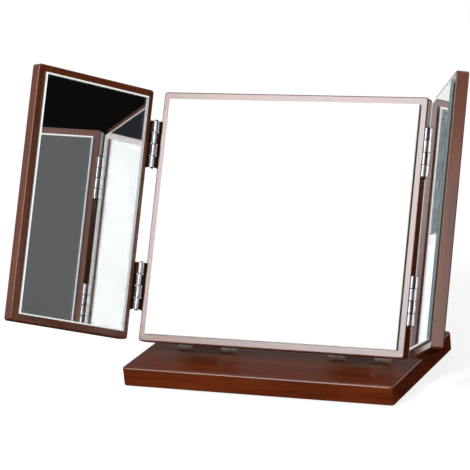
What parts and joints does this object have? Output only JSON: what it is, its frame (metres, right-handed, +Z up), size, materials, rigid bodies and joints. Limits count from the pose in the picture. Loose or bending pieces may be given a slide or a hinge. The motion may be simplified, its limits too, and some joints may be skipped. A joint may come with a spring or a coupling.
{
  "type": "trifold tabletop mirror",
  "caption": "Tabletop vanity mirror: a leaning mirror panel with folding mirror wings, all on lacquered wooden boards, hinged to a flat rectangular wooden base.",
  "frame": {"origin": "centre of the underside of the felt below the base, on the surface it stands on", "axes": "+X to the right as the user faces the mirror, +Y to the back, +Z up"},
  "size_m": [0.46, 0.2453, 0.3264],
  "materials": {
    "lacquered_wood": "gloss",
    "felt": "matte",
    "mirror_glass": "gloss",
    "foam_tape": "matte",
    "nickel_steel": "satin",
    "screw_steel": "satin",
    "sleeve_plastic": "matte"
  },
  "bodies": {
    "base": {"base_board": "lacquered_wood", "base_felt": "felt", "tilt_hinge_left_base_leaf": "nickel_steel", "tilt_hinge_left_base_screws": "screw_steel", "tilt_hinge_left_friction_sleeves": "sleeve_plastic", "tilt_hinge_right_base_leaf": "nickel_steel", "tilt_hinge_right_base_screws": "screw_steel", "tilt_hinge_right_friction_sleeves": "sleeve_plastic"},
    "centre_panel": {"centre_adhesive": "foam_tape", "centre_board": "lacquered_wood", "centre_mirror": "mirror_glass", "left_lower_hinge_centre_leaf": "nickel_steel", "left_lower_hinge_centre_screws": "screw_steel", "left_lower_hinge_pin": "nickel_steel", "left_upper_hinge_centre_leaf": "nickel_steel", "left_upper_hinge_centre_screws": "screw_steel", "left_upper_hinge_pin": "nickel_steel", "right_lower_hinge_centre_leaf": "nickel_steel", "right_lower_hinge_centre_screws": "screw_steel", "right_lower_hinge_pin": "nickel_steel", "right_upper_hinge_centre_leaf": "nickel_steel", "right_upper_hinge_centre_screws": "screw_steel", "right_upper_hinge_pin": "nickel_steel", "tilt_hinge_left_mirror_leaf": "nickel_steel", "tilt_hinge_left_mirror_screws": "screw_steel", "tilt_hinge_left_shaft": "nickel_steel", "tilt_hinge_right_mirror_leaf": "nickel_steel", "tilt_hinge_right_mirror_screws": "screw_steel", "tilt_hinge_right_shaft": "nickel_steel"},
    "left_wing": {"left_lower_hinge_wing_leaf": "nickel_steel", "left_lower_hinge_wing_screws": "screw_steel", "left_upper_hinge_wing_leaf": "nickel_steel", "left_upper_hinge_wing_screws": "screw_steel", "left_wing_adhesive": "foam_tape", "left_wing_board": "lacquered_wood", "left_wing_mirror": "mirror_glass"},
    "right_wing": {"right_lower_hinge_wing_leaf": "nickel_steel", "right_lower_hinge_wing_screws": "screw_steel", "right_upper_hinge_wing_leaf": "nickel_steel", "right_upper_hinge_wing_screws": "screw_steel", "right_wing_adhesive": "foam_tape", "right_wing_board": "lacquered_wood", "right_wing_mirror": "mirror_glass"}
  },
  "joints": [
    {"name": "tilt", "type": "hinge", "parent": "base", "child": "centre_panel", "pos_m": [0, -0.012, 0.0276], "axis": [1, 0, 0], "range_deg": [-20, 26]},
    {"name": "left_wing_fold", "type": "hinge", "parent": "centre_panel", "child": "left_wing", "pos_m": [-0.1486, 0.0092, 0.15377], "axis": [0, 0.4431, 0.8965], "range_deg": [-81.3, 115.7]},
    {"name": "right_wing_fold", "type": "hinge", "parent": "centre_panel", "child": "right_wing", "pos_m": [0.1486, 0.0092, 0.15377], "axis": [0, -0.4431, -0.8965], "range_deg": [-78.9, 118.1]}
  ]
}
